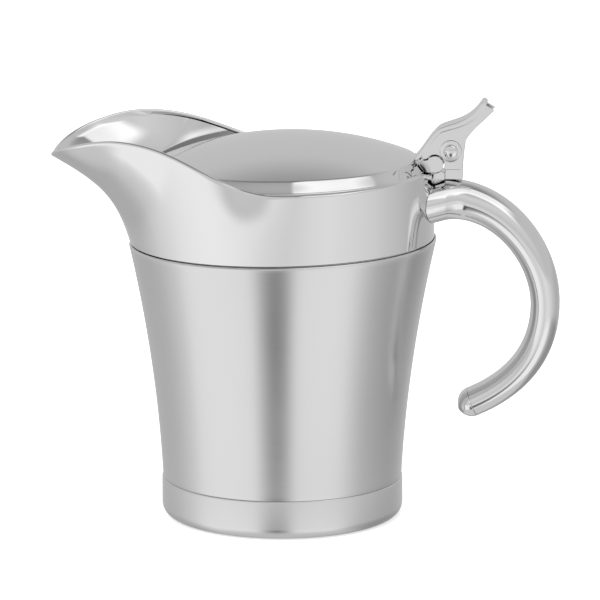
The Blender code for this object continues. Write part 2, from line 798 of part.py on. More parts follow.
def make_washer(name, side, material):
    around = PIN_AROUND
    near = POST_HALF + FIT + CHEEK_THICK + FIT
    far = near + WASHER_THICK
    rows = [(PIN_R + FIT, near), (WASHER_R, near), (WASHER_R, far - PLATE_EDGE)]
    rows += [(WASHER_R - PLATE_EDGE, far), (PIN_R + FIT, far)]
    rings = []
    for k in range(around):
        turn = 2.0 * math.pi * k / around
        ring = []
        for radius, y in rows:
            x = PIVOT_X + radius * math.cos(turn)
            ring.append((x, side * y, PIVOT_Z + radius * math.sin(turn)))
        rings.append(ring)
    verts = [p for ring in rings for p in ring]
    faces = ring_faces(around, len(rows), True)
    return add_mesh(name, verts, faces, material, (PIVOT_X, 0.0, PIVOT_Z))


def main():
    clear_scene()
    make_shell(steel("shell_steel", *SATIN))
    make_base_cap(steel("base_steel", *SATIN))
    make_cup(steel("cup_steel", *SATIN))
    make_collar(steel("collar_steel", *MIRROR))
    make_lid(steel("lid_steel", *MIRROR))
    make_handle(steel("handle_steel", *MIRROR))
    make_end_cap(steel("end_cap_steel", *MIRROR))
    make_lever(steel("lever_steel", *CAST))
    make_bracket(steel("bracket_steel", *CAST))
    make_post(steel("post_steel", *CAST))
    make_brace(steel("brace_steel", *CAST))
    make_pin(steel("pin_steel", *CAST))
    make_washer("washer_near", -1.0, steel("near_washer_steel", *CAST))
    make_washer("washer_far", 1.0, steel("far_washer_steel", *CAST))


main()
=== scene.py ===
"""Looks of the double-walled steel gravy boat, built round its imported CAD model.

Metres, +Z up, in the CAD model's own frame: the spout points to -X, the handle to +X.
"""

import json
import math

import bmesh
import bpy
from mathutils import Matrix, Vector


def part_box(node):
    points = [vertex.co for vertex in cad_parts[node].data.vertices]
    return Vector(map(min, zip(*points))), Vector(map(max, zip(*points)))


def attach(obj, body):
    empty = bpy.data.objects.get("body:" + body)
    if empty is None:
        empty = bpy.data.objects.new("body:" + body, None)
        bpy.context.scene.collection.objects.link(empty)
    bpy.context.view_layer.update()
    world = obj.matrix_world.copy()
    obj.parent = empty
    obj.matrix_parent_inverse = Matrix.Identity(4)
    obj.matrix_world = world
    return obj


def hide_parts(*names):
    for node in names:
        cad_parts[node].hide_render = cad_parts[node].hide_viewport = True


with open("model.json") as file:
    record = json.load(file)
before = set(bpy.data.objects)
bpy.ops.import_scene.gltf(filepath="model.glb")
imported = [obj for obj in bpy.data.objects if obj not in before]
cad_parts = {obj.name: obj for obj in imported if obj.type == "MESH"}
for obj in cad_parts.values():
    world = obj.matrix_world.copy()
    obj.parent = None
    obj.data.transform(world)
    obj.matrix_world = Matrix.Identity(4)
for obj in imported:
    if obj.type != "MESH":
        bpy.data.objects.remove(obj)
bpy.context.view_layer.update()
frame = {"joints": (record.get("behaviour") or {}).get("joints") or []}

# Clearance and sheet thicknesses, as the CAD model has them
FIT = 0.0003
SHEET = 0.0008
COLLAR_SHEET = 0.0009
LID_SHEET = 0.0009
TUBE_SHEET = 0.0010

# How finely pieces are divided: steps round the body, round a tube or the hinge axis, and
# the angle past which an edge stays sharp
ROUND_STEPS = 288
TUBE_STEPS = 64
SHARP_ANGLE = math.radians(35.0)
RIM_BEVEL_ANGLE = math.radians(50.0)
RIM_BEVEL_STEPS = 4

# Places read from the CAD model: highest corners, the cup's floor and the lid's joint
CAP_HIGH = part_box("base_cap")[1]
CUP_LOW, CUP_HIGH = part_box("inner_cup")
PIVOT = Vector(frame["joints"][0]["pos_m"])
POST_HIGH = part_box("hinge_post")[1]
BRACE_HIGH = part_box("post_brace")[1]
BRACKET_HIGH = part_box("lid_bracket")[1]
WASHER_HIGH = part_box("washer_near")[1]
PIN_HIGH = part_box("hinge_pin")[1]

# Shell, base and cup
CREASE_Z = CAP_HIGH.z + FIT
CAP_R = CAP_HIGH.y
SHELL_FOOT_R = CAP_R - 0.00035
SHELL_TOP_R = 0.0539
SHELL_BOW = 0.62
SEAM_Z = CUP_HIGH.z + 0.0023
SEAM_TILT = 0.0192
SHOULDER_R = 0.0006
SHELL_HEM = 0.00015
NECK_DEPTH = 0.0045
CAP_SHEET = 0.0009
CAP_CORNER = 0.00445
CAP_CORNER_Z = 0.0042
CAP_EDGE = 0.00045
CAP_TOP_GAP = 0.00004
AIR_GAP = 0.0034
CUP_FLOOR_Z = CUP_LOW.z
CUP_CORNER_R = 0.0075
CUP_FLARE_HIGH = SEAM_Z - 0.0093
CUP_FLARE_LOW = SEAM_Z - 0.0183

# Collar
COLLAR_R = SHELL_TOP_R - 0.0007
SKIRT_Z = SEAM_Z - 0.0078
SEAM_CHAMFER = 0.0003
BEAD_R = 0.00085
BEAD_TURN = 1.1 * math.pi
RIM_R = COLLAR_R - 0.0002
WAIST_R = RIM_R - 0.0035
WAIST_FROM = math.radians(75.0)
WAIST_TO = math.radians(110.0)
LIP_LENGTH = COLLAR_R + 0.02628
LIP_HALF_WIDTH = COLLAR_R - 0.0154
LIP_POWER = 2.68
LIP_BLEND = 6.3
RIM_Z_LOW = SEAM_Z + 0.0240
RIM_Z_BACK = SEAM_Z + 0.0260
RIM_Z_CHEEK = SEAM_Z + 0.0382
RIM_Z_TIP = SEAM_Z + 0.0287
LOW_ANGLE = math.radians(88.0)
CHEEK_ANGLE = math.radians(147.5)
FLARE_START = (0.18, 0.52)
FLARE_END = (0.38, 0.68)

# Lid
LID_X = 0.0015
BRIM_R = RIM_R - 0.0046
BRIM_WIDTH = 0.0032
BRIM_DROP = 0.0035
BRIM_EDGE = 0.0005
BRIM_FROM = (0.0009, -0.0011)
BRIM_INTO = (-0.0008, 0.0010)
DOME_R = BRIM_R - BRIM_WIDTH
DOME_RISE = 0.0088
LID_EDGE_Z = RIM_Z_LOW + 0.0043
LID_SKIRT = 0.0068

# Hinge
PIN_R = 0.0015
WASHER_R = WASHER_HIGH.x - PIVOT.x
WASHER_THICK = 0.0006
HEAD_R = PIN_R + 0.00095
HEAD_HEIGHT = 0.0016
HEAD_EDGE = 0.0005
HEAD_TIP_R = 0.00004
WASHER_EDGE = 0.00025
WASHER_BORE_R = PIN_R + 0.5 * FIT
POST_TOP_R = PIN_R + 0.0025
POST_FRONT_X = PIVOT.x - 0.0021
POST_BACK_X = PIVOT.x + 0.0040
POST_SINK = 0.00025
POST_TOP_SWEEP = (20.0, 215.0)
CHEEK_THICK = 0.0018
CHEEK_FLOOR_Z = PIVOT.z - 0.0066
CHEEK_CORNER_X = 0.0031
CHEEK_CORNER_R = 0.0008
CHEEK_FRONT_X = -0.0024
CHEEK_Y = WASHER_HIGH.y + FIT + 0.5 * CHEEK_THICK
WEB_HALF = 0.0056
WEB_FRONT_THICK = 0.0014
WEB_BACK_THICK = 0.0022
LOBE_R = 0.0029
LOBE_ANGLE = math.radians(220.5)
LOBE_REACH = POST_TOP_R + LOBE_R + 1.1 * FIT
LOBE_X = PIVOT.x + LOBE_REACH * math.cos(LOBE_ANGLE)
LOBE_Z = PIVOT.z + LOBE_REACH * math.sin(LOBE_ANGLE)
LOBE_GAP = 1.3 * FIT
CHEEK_LOBE_SWEEP = (-10.0, 148.0)
BRACKET_LOBE_SWEEP = (-90.0, 150.0)
NOTCH_FLOOR_Z = LOBE_Z - LOBE_R - FIT - BEAD_R
NOTCH_FLAT = math.radians(7.0)
NOTCH_ANGLE = math.radians(20.0)
SEAT_LENGTH = 0.0020
SEAT_GAP = 0.5 * FIT
BRACKET_NAPE = (0.0013, 0.0012)
BRACE_SHOULDER = 0.0009
BRACE_GAP = 0.3 * FIT
BRACE_TOE_GAP = 0.6 * FIT
BRACE_TOE_DROP = 0.5 * FIT
BRACE_LOBE_SWEEP = (-48.0, -88.0)

# Rounding of the hinge plates' rims
WEB_ROUND = 0.0005
CHEEK_ROUND = 0.00025
BRACKET_ROUND = 0.0003
POST_ROUND = 0.00025
BRACE_ROUND = 0.0002

# Lever, as X and Z from the pivot
WEB_TOE_X = -0.0128
WEB_LIFT = 0.00052
WEB_RISE = (-0.0096, 0.0008)
WEB_SWELL = (-0.0076, 0.0052)
WEB_KNEE = (-0.0043, 0.0078)
WEB_CREST = (-0.0001, 0.0101)
WEB_DIP = (0.0059, 0.0098)
PAD_TIP = (0.0103, 0.0171)
PAD_DEPTH = 0.0032
PAD_HOLLOW = (0.0096, 0.0090)
CHEEK_BACK = ((0.0056, 0.0059), (0.0048, 0.0025), (0.0043, -0.0012))

# Handle: its centre line's control points and its section
ROOT = (COLLAR_R - 0.0022, SEAM_Z + 0.0140)
CREST = (COLLAR_R + 0.0190, SEAM_Z + 0.0202)
BACK_TOP = (COLLAR_R + 0.0389, SEAM_Z - 0.0003)
BACK_MID = (COLLAR_R + 0.0389, SEAM_Z - 0.0216)
BACK_LOW = (COLLAR_R + 0.0389, SEAM_Z - 0.0363)
HEEL = (COLLAR_R + 0.0316, SEAM_Z - 0.0491)
TIP = (COLLAR_R + 0.0140, SEAM_Z - 0.0569)
TUBE_HALF_THICK = 0.00515
TUBE_HALF_WIDTH = 0.0080
ROOT_HALF_WIDTH = 0.0145
ROOT_HALF_THICK = 0.0075
TAPER_POWER = 1.3
ROOT_BLEND = 0.22
ROOT_CLEAR = 0.10
CREST_LIMIT = 0.8
COPE_GAP = 0.0001
PLUG_DEPTH = 0.0040
PLUG_LIP = 0.00012

# Camera: where it looks, how far off it stands, and its angles round and above the object
LOOK_AT = Vector((0.0062, 0.0006, 0.0763))
CAMERA_DISTANCE = 1.7437
CAMERA_AZIMUTH = math.radians(5.0)
CAMERA_ELEVATION = math.radians(11.852)
CAMERA_LENS = 298.5


def smoothstep(t):
    t = min(max(t, 0.0), 1.0)
    return t * t * (3.0 - 2.0 * t)


def mix(a, b, t):
    return a + (b - a) * t


def bezier(points, t):
    """Point and unit tangent of a planar cubic at t."""
    a, b, c, d = (Vector(p) for p in points)
    s = 1.0 - t
    place = a * s**3 + b * 3 * s * s * t + c * 3 * s * t * t + d * t**3
    slope = (b - a) * s * s + (c - b) * 2 * s * t + (d - c) * t * t
    return place, slope.normalized()


def crossing(below, low, high, halvings):
    """The t between low and high up to which below(t) holds, by halving the interval."""
    for _ in range(halvings):
        middle = 0.5 * (low + high)
        if below(middle):
            low = middle
        else:
            high = middle
    return low


def arc(x, z, radius, start, end, steps):
    """Points on a planar arc, its angles in degrees."""
    points = []
    for i in range(steps + 1):
        turn = math.radians(mix(start, end, i / steps))
        points.append((x + radius * math.cos(turn), z + radius * math.sin(turn)))
    return points


# Materials


PLAIN = (1.0, 1.0, 1.0)
CLOUD_SCALE = 35.0
FLOOR_SCALE = 60.0


def grey(level):
    return (level, level, level, 1.0)


def node(tree, kind, **settings):
    made = tree.nodes.new(kind)
    for key, value in settings.items():
        setattr(made, key, value)
    return made


def feed(tree, socket, value):
    """Sets a socket to a number, or links it to another node's output."""
    if isinstance(value, (int, float)):
        socket.default_value = value
    else:
        tree.links.new(value, socket)


def calc(tree, operation, *values):
    """A Math node whose inputs are numbers or other nodes' outputs."""
    made = node(tree, "ShaderNodeMath", operation=operation)
    for socket, value in zip(made.inputs, values):
        feed(tree, socket, value)
    return made.outputs[0]


def remap(tree, value, low, high, to_low, to_high):
    """value from low..high to to_low..to_high, with a smooth start and end."""
    made = node(tree, "ShaderNodeMapRange", interpolation_type="SMOOTHSTEP")
    tree.links.new(value, made.inputs["Value"])
    made.inputs["From Min"].default_value = low
    made.inputs["From Max"].default_value = high
    made.inputs["To Min"].default_value = to_low
    made.inputs["To Max"].default_value = to_high
    return made.outputs["Result"]


def grain(tree, stretch, scale, detail=4.0):
    """Noise in the object's own space, stretched along its axes."""
    coords = node(tree, "ShaderNodeTexCoord")
    mapping = node(tree, "ShaderNodeMapping")
    mapping.inputs["Scale"].default_value = stretch
    noise = node(tree, "ShaderNodeTexNoise")
    noise.inputs["Scale"].default_value = scale
    noise.inputs["Detail"].default_value = detail
    tree.links.new(coords.outputs["Object"], mapping.inputs["Vector"])
    tree.links.new(mapping.outputs["Vector"], noise.inputs["Vector"])
    return noise.outputs["Fac"]


def steel(name, light, dark, roughness, spread, scale, depth, stretch=PLAIN):
    """Steel whose colour and roughness vary with its grain, with a faint relief."""
    material = bpy.data.materials.new(name)
    material.use_nodes = True
    tree = material.node_tree
    shader = tree.nodes["Principled BSDF"]
    shader.inputs["Metallic"].default_value = 1.0
    fine = grain(tree, stretch, scale)
    cloud = grain(tree, PLAIN, CLOUD_SCALE, 2.0)
    tone = node(tree, "ShaderNodeMix", data_type="RGBA")
    tone.inputs["A"].default_value = grey(dark)
    tone.inputs["B"].default_value = grey(light)
    both = calc(tree, "MULTIPLY_ADD", fine, 0.5, calc(tree, "MULTIPLY", cloud, 0.5))
    tree.links.new(both, tone.inputs["Factor"])
    tree.links.new(tone.outputs["Result"], shader.inputs["Base Color"])
    rough = remap(tree, both, 0.3, 0.7, roughness - spread, roughness + spread)
    tree.links.new(rough, shader.inputs["Roughness"])
    bump = node(tree, "ShaderNodeBump")
    bump.inputs["Strength"].default_value = 0.2
    bump.inputs["Distance"].default_value = depth
    tree.links.new(fine, bump.inputs["Height"])
    tree.links.new(bump.outputs["Normal"], shader.inputs["Normal"])
    return material


def turned(material, amount):
    """Lets a turned piece's fine rings spread its highlights up and down."""
    tree = material.node_tree
    shader = tree.nodes["Principled BSDF"]
    shader.inputs["Anisotropic"].default_value = amount
    shader.inputs["Anisotropic Rotation"].default_value = 0.25
    tangent = node(tree, "ShaderNodeTangent", direction_type="RADIAL", axis="Z")
    tree.links.new(tangent.outputs["Tangent"], shader.inputs["Tangent"])
    return material


def satin(name):
    """Brushed round the piece's axis, so the grain's scale is all in its stretch."""
    brushed = steel(
        name, light=0.80, dark=0.74, roughness=0.30, spread=0.02,
        scale=1.0, depth=0.000004, stretch=(60.0, 60.0, 4000.0),
    )
    return turned(brushed, 0.75)


def polished(name):
    return steel(
        name, light=0.83, dark=0.80, roughness=0.075, spread=0.02,
        scale=900.0, depth=0.0000015,
    )


def cast(name):
    return steel(
        name, light=0.84, dark=0.78, roughness=0.13, spread=0.03,
        scale=700.0, depth=0.000008,
    )


# Mesh tools


def add_mesh(name, verts, faces, material, body):
    mesh = bpy.data.meshes.new(name)
    mesh.from_pydata([tuple(v) for v in verts], [], faces)
    work = bmesh.new()
    work.from_mesh(mesh)
    bmesh.ops.recalc_face_normals(work, faces=work.faces)
    work.to_mesh(mesh)
    work.free()
    mesh.materials.append(material)
    for face in mesh.polygons:
        face.use_smooth = True
    mesh.set_sharp_from_angle(angle=SHARP_ANGLE)
    obj = bpy.data.objects.new(name, mesh)
    bpy.context.scene.collection.objects.link(obj)
    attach(obj, body)
    return obj


def ring_faces(rings, size, wrap):
    """Quads between rings that follow one another; wrap joins the last to the first."""
    faces = []
    for i in range(rings if wrap else rings - 1):
        j = (i + 1) % rings
        for k in range(size):
            m = (k + 1) % size
            faces.append((i * size + k, j * size + k, j * size + m, i * size + m))
    return faces


def angles(steps=ROUND_STEPS):
    return [2.0 * math.pi * i / steps for i in range(steps)]


def polar(angle, radius, z, centre_x=0.0):
    return (centre_x + radius * math.cos(angle), radius * math.sin(angle), z)


def band(name, sections, material, node_name):
    """A closed loop of closed sections, one for each of angles()."""
    verts = [p for section in sections for p in section]
    faces = ring_faces(len(sections), len(sections[0]), True)
    obj = add_mesh(name, verts, faces, material, "boat")
    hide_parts(node_name)
    return obj


def lathe(name, profile, material, node_name, body, centre_x=0.0, tilt=0.0):
    """A turned piece whose profile starts and ends on the axis."""
    rows = profile[1:-1]
    count = len(rows)
    verts = []
    for angle in angles():
        for radius, z in rows:
            x, y, z = polar(angle, radius, z, centre_x)
            verts.append((x, y, z + tilt * x))
    faces = []
    for i in range(ROUND_STEPS):
        here = i * count
        there = (i + 1) % ROUND_STEPS * count
        for k in range(count - 1):
            faces.append((here + k, there + k, there + k + 1, here + k + 1))
    for z, row in ((profile[0][1], 0), (profile[-1][1], count - 1)):
        pole = len(verts)
        verts.append((centre_x, 0.0, z + tilt * centre_x))
        for i in range(ROUND_STEPS):
            faces.append((pole, i * count + row, (i + 1) % ROUND_STEPS * count + row))
    obj = add_mesh(name, verts, faces, material, body)
    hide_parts(node_name)
    return obj


def plate(name, outline, half, y, round_r, material, node_name, body):
    """A plate from a closed XZ outline, centred on y, with rounded rims."""
    size = len(outline)
    verts = [(x, face_y, z) for face_y in (y - half, y + half) for x, z in outline]
    faces = ring_faces(2, size, False)
    faces += [tuple(range(size)), tuple(range(size, 2 * size))]
    obj = add_mesh(name, verts, faces, material, body)
    bevel = obj.modifiers.new("rims", "BEVEL")
    bevel.width = round_r
    bevel.segments = RIM_BEVEL_STEPS
    bevel.limit_method = "ANGLE"
    bevel.angle_limit = RIM_BEVEL_ANGLE
    bevel.harden_normals = True
    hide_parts(node_name)
    return obj


# Body


def shell_radius(z):
    t = (z - CREASE_Z) / (SEAM_Z - CREASE_Z)
    return mix(SHELL_FOOT_R, SHELL_TOP_R, mix(t, t * t, SHELL_BOW))


def shell_inside(z):
    return shell_radius(z) - SHEET


def seam_height(angle):
    return SEAM_Z + SEAM_TILT * COLLAR_R * math.cos(angle)


def make_shell():
    neck = CAP_R - CAP_SHEET - FIT
    levels = 48
    hem = SHELL_HEM
    sections = []
    for angle in angles():
        top = seam_height(angle)
        crown = shell_radius(top - SHOULDER_R)
        loop = [(neck - SHEET, CREASE_Z - NECK_DEPTH), (neck, CREASE_Z - NECK_DEPTH)]
        loop.append((neck, CREASE_Z))
        loop += arc(SHELL_FOOT_R - hem, CREASE_Z + hem, hem, -90.0, 0.0, 4)
        for i in range(1, levels + 1):
            z = mix(CREASE_Z + hem, top - SHOULDER_R, i / levels)
            loop.append((shell_radius(z), z))
        loop += arc(crown - SHOULDER_R, top - SHOULDER_R, SHOULDER_R, 10.0, 90.0, 5)
        loop.append((shell_inside(top), top))
        for i in range(levels, -1, -1):
            z = mix(CREASE_Z + SHEET, top - SHOULDER_R, i / levels)
            loop.append((shell_inside(z), z))
        loop.append((neck - SHEET, CREASE_Z + SHEET))
        sections.append([polar(angle, r, z) for r, z in loop])
    band("shell_skin", sections, satin("shell_satin"), "outer_shell")


def make_base_cap():
    top = CREASE_Z - CAP_TOP_GAP
    floor = CAP_R - CAP_CORNER
    profile = [(0.0, 0.0), (0.5 * floor, 0.0)]
    steps = 16
    for i in range(steps + 1):
        turn = math.pi / 2 * i / steps
        radius = mix(floor, CAP_R, math.sin(turn))
        profile.append((radius, CAP_CORNER_Z * (1.0 - math.cos(turn))))
    profile += arc(CAP_R - CAP_EDGE, top - CAP_EDGE, CAP_EDGE, 0.0, 90.0, 6)
    profile.append((CAP_R - CAP_SHEET, top))
    for i in range(steps, -1, -1):
        turn = math.pi / 2 * i / steps
        radius = mix(floor, CAP_R - CAP_SHEET, math.sin(turn))
        rise = (CAP_CORNER_Z - CAP_SHEET) * (1.0 - math.cos(turn))
        profile.append((radius, CAP_SHEET + rise))
    profile += [(0.5 * floor, CAP_SHEET), (0.0, CAP_SHEET)]
    lathe("base_skin", profile, satin("base_satin"), "base_cap", "boat")


def cup_radius(z):
    low = shell_inside(z) - AIR_GAP
    high = shell_inside(z) - FIT - COLLAR_SHEET - FIT
    t = (z - CUP_FLARE_LOW) / (CUP_FLARE_HIGH - CUP_FLARE_LOW)
    return mix(low, high, smoothstep(t))


def make_cup():
    wall_from = CUP_FLOOR_Z + CUP_CORNER_R
    rows = 40
    heights = [mix(wall_from, CUP_HIGH.z, i / rows) for i in range(rows + 1)]
    side = cup_radius(wall_from)
    steps = 14
    profile = [(0.0, CUP_FLOOR_Z)]
    for i in range(steps):
        turn = math.pi / 2 * i / steps
        radius = side - CUP_CORNER_R * (1.0 - math.sin(turn))
        profile.append((radius, CUP_FLOOR_Z + CUP_CORNER_R * (1.0 - math.cos(turn))))
    profile += [(cup_radius(z), z) for z in heights]
    profile += [(cup_radius(z) - SHEET, z) for z in reversed(heights)]
    inner = CUP_CORNER_R - SHEET
    for i in range(steps - 1, -1, -1):
        turn = math.pi / 2 * i / steps
        radius = side - SHEET - inner * (1.0 - math.sin(turn))
        profile.append((radius, CUP_FLOOR_Z + SHEET + inner * (1.0 - math.cos(turn))))
    profile.append((0.0, CUP_FLOOR_Z + SHEET))
    lathe("cup_skin", profile, satin("cup_satin"), "inner_cup", "boat")


# Collar


def rim_radius(angle):
    turn = abs(math.remainder(angle, 2.0 * math.pi))
    waist = smoothstep((turn - WAIST_FROM) / (WAIST_TO - WAIST_FROM))
    bowl = mix(RIM_R, WAIST_R, waist)
    along = abs(math.cos(turn)) / LIP_LENGTH
    across = abs(math.sin(turn)) / LIP_HALF_WIDTH
    lip = waist * (along**LIP_POWER + across**LIP_POWER) ** (-1.0 / LIP_POWER)
    return (bowl**LIP_BLEND + lip**LIP_BLEND) ** (1.0 / LIP_BLEND)


def rim_height(angle):
    turn = abs(math.remainder(angle, 2.0 * math.pi))
    if turn < LOW_ANGLE:
        ramp = smoothstep((turn - NOTCH_FLAT) / (NOTCH_ANGLE - NOTCH_FLAT))
        side = mix(RIM_Z_BACK, RIM_Z_LOW, smoothstep(turn / LOW_ANGLE))
        return mix(min(NOTCH_FLOOR_Z, side), side, ramp)
    if turn < CHEEK_ANGLE:
        t = (turn - LOW_ANGLE) / (CHEEK_ANGLE - LOW_ANGLE)
        return mix(RIM_Z_LOW, RIM_Z_CHEEK, smoothstep(t))
    t = (turn - CHEEK_ANGLE) / (math.pi - CHEEK_ANGLE)
    return mix(RIM_Z_CHEEK, RIM_Z_TIP, smoothstep(t))


def collar_curve(angle):
    start = Vector((COLLAR_R, seam_height(angle) + FIT))
    end = Vector((rim_radius(angle), rim_height(angle)))
    out = end.x - start.x
    rise = end.y - start.y
    first = start + Vector((FLARE_START[0] * out, FLARE_START[1] * rise))
    second = start + Vector((FLARE_END[0] * out, FLARE_END[1] * rise))
    return (start, first, second, end)


def collar_section(angle):
    curve = collar_curve(angle)
    seam = seam_height(angle) + FIT
    steps = 36
    outer = []
    inner = []
    for i in range(steps + 1):
        place, along = bezier(curve, i / steps)
        outward = Vector((along.y, -along.x))
        outer.append(place)
        inner.append(place - outward * COLLAR_SHEET)
    skirt = [mix(SKIRT_Z, seam, i / 4) for i in range(5)]
    loop = [Vector((shell_inside(z) - FIT, z)) for z in skirt]
    loop.append(outer[0] + Vector((-SEAM_CHAMFER, 0.0)))
    loop.append(outer[0] + Vector((0.0, SEAM_CHAMFER)))
    loop += outer[1:]
    place, along = bezier(curve, 1.0)
    outward = Vector((along.y, -along.x))
    hub = place - outward * BEAD_R
    bead_steps = 15
    for i in range(1, bead_steps + 1):
        turn = BEAD_TURN * i / bead_steps
        aside = outward * (BEAD_R * math.cos(turn))
        loop.append(hub + aside + along * (BEAD_R * math.sin(turn)))
    loop += reversed(inner[:-1])
    loop += [Vector((shell_inside(z) - FIT - COLLAR_SHEET, z)) for z in reversed(skirt[:-1])]
    return [polar(angle, p.x, p.y) for p in loop]


def make_collar():
    sections = [collar_section(a) for a in angles()]
    band("collar_skin", sections, polished("collar_polish"), "spout_collar")


# Lid


def dome_height(radius):
    ball = (DOME_R**2 + DOME_RISE**2) / (2.0 * DOME_RISE)
    return math.sqrt(ball * ball - radius * radius) - (ball - DOME_RISE)


def lid_top(x):
    radius = abs(x - LID_X)
    if radius < DOME_R:
        return LID_EDGE_Z + dome_height(radius) + SEAM_TILT * x
    t = min((radius - DOME_R) / (BRIM_WIDTH - BRIM_EDGE), 1.0)
    return LID_EDGE_Z - BRIM_DROP * t + SEAM_TILT * x


def make_lid():
    rows = 60
    profile = []
    for i in range(rows + 1):
        radius = DOME_R * i / rows
        profile.append((radius, LID_EDGE_Z + dome_height(radius)))
    start = Vector((DOME_R, LID_EDGE_Z))
    brim_z = LID_EDGE_Z - BRIM_DROP
    end = Vector((BRIM_R - BRIM_EDGE, brim_z))
    curve = (start, start + Vector(BRIM_FROM), end + Vector(BRIM_INTO), end)
    steps = 14
    profile += [tuple(bezier(curve, i / steps)[0]) for i in range(1, steps + 1)]
    profile += arc(BRIM_R - BRIM_EDGE, brim_z - BRIM_EDGE, BRIM_EDGE, 80.0, 0.0, 6)
    bottom = LID_EDGE_Z - LID_SKIRT
    profile.append((BRIM_R, bottom))
    profile.append((BRIM_R - LID_SHEET, bottom))
    profile.append((BRIM_R - LID_SHEET, brim_z - LID_SHEET))
    for i in range(rows, -1, -1):
        radius = (DOME_R - FIT) * i / rows
        profile.append((radius, LID_EDGE_Z + dome_height(radius) - LID_SHEET))
    lathe("lid_skin", profile, polished("lid_polish"), "lid_dome", "lid", LID_X, SEAM_TILT)


# Handle


def handle_frame(t):
    """Point and unit tangent of the centre line, from 0 at the root to 2 at the tip."""
    if t <= 1.0:
        return bezier((ROOT, CREST, BACK_TOP, BACK_MID), t)
    return bezier((BACK_MID, BACK_LOW, HEEL, TIP), t - 1.0)


def half_thick(t):
    return mix(TUBE_HALF_THICK, ROOT_HALF_THICK, max(1.0 - t, 0.0) ** TAPER_POWER)


def handle_top(x):
    """Z of the handle's upper face at this x, on the plane of symmetry."""
    t = crossing(lambda t: handle_frame(t)[0].x < x, 0.0, CREST_LIMIT, 40)
    place, along = handle_frame(t)
    return place.y + half_thick(t) / along.x


def collar_face(y, z):
    """X of the collar's outer face at this y and z, on the handle side."""
    x = COLLAR_R
    for _ in range(8):
        curve = collar_curve(math.atan2(y, x))
        t = crossing(lambda t: bezier(curve, t)[0].y < z, 0.0, 1.0, 24)
        radius = bezier(curve, t)[0].x
        x = math.sqrt(radius * radius - y * y)
    return x


def handle_ring(t, shrink):
    place, along = handle_frame(t)
    normal = Vector((-along.y, along.x))
    blend = smoothstep(t / ROOT_BLEND)
    wide = mix(ROOT_HALF_WIDTH, TUBE_HALF_WIDTH, blend) - shrink
    thick = half_thick(t) - shrink
    return oval_ring(place, normal, wide, thick)


def oval_ring(place, normal, wide, thick):
    """A ring of an oval section, from its half width in Y and half thickness along normal."""
    ring = []
    for turn in angles(TUBE_STEPS):
        p = place + normal * (thick * math.sin(turn))
        ring.append((p.x, wide * math.cos(turn), p.y))
    return ring


def make_handle():
    rows = 150
    inner_every = 5
    stops = [0.0] + [mix(ROOT_CLEAR, 2.0, i / rows) for i in range(rows + 1)]
    outer = [handle_ring(t, 0.0) for t in stops]
    inner = [handle_ring(t, TUBE_SHEET) for t in stops[::inner_every]]
    outer[0] = [(collar_face(y, z) + COPE_GAP, y, z) for _, y, z in outer[0]]
    inner[0] = [(collar_face(y, z) + COPE_GAP, y, z) for _, y, z in inner[0]]
    rings = outer + [handle_ring(2.0, TUBE_SHEET)] + inner[::-1]
    verts = [p for ring in rings for p in ring]
    faces = ring_faces(len(rings), TUBE_STEPS, True)
    metal = polished("handle_polish")
    tube = add_mesh("handle_skin", verts, faces, metal, "boat")
    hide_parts("handle_tube")


def end_faces(rings, size):
    """Quads between rings and one face over each end."""
    last = (rings - 1) * size
    ends = [tuple(range(size)), tuple(range(last, last + size))]
    return ring_faces(rings, size, False) + ends


def make_end_cap():
    place, along = handle_frame(2.0)
    normal = Vector((-along.y, along.x))
    wide = TUBE_HALF_WIDTH
    thick = TUBE_HALF_THICK
    plug = TUBE_SHEET + FIT
    rows = [(reach, wide - plug, thick - plug) for reach in (-PLUG_DEPTH, PLUG_LIP)]
    rows.append((PLUG_LIP, wide - PLUG_LIP, thick - PLUG_LIP))
    steps = 20
    for i in range(steps):
        turn = math.pi / 2 * i / steps
        fall = math.cos(turn)
        reach = FIT + thick * math.sin(turn)
        rows.append((reach, wide - thick * (1.0 - fall), thick * fall))
    verts = []
    for reach, row_wide, row_thick in rows:
        verts += oval_ring(place + along * reach, normal, row_wide, row_thick)
    faces = end_faces(len(rows), TUBE_STEPS)
    metal = polished("end_cap_polish")
    cap = add_mesh("end_cap_skin", verts, faces, metal, "boat")
    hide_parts("handle_end_cap")


# Hinge


def from_pivot(points):
    return [(PIVOT.x + x, PIVOT.z + z) for x, z in points]


def web_line():
    """Points and tangents along the web's upper face, from the lid to the pad's tip."""
    toe_x = PIVOT.x + WEB_TOE_X
    toe = (toe_x, lid_top(toe_x) + WEB_LIFT)
    first = [toe] + from_pivot([WEB_RISE, WEB_SWELL, WEB_KNEE])
    second = from_pivot([WEB_KNEE, WEB_CREST, WEB_DIP, PAD_TIP])
    rise_steps, pad_steps = 20, 28
    line = [bezier(first, i / rise_steps) for i in range(rise_steps + 1)]
    line += [bezier(second, i / pad_steps) for i in range(1, pad_steps + 1)]
    return line


def web_under(share):
    """Points below the web's upper face, by a share of its thickness."""
    line = web_line()
    under = []
    for i, (place, along) in enumerate(line):
        thick = mix(WEB_FRONT_THICK, WEB_BACK_THICK, smoothstep(i / (len(line) - 1)))
        under.append(place + Vector((along.y, -along.x)) * (thick * share))
    return under


def web_outline():
    line = web_line()
    under = web_under(1.0)
    place, along = line[-1]
    half = 0.5 * WEB_BACK_THICK
    reach = 0.8 * half
    steps = 8
    hub = 0.5 * (place + under[-1])
    side = Vector((-along.y, along.x))
    nose = []
    for i in range(1, steps):
        turn = math.pi * i / steps
        aside = side * (half * math.cos(turn))
        nose.append(tuple(hub + aside + along * (reach * math.sin(turn))))
    return [tuple(p) for p, _ in line] + nose + [tuple(p) for p in reversed(under)]


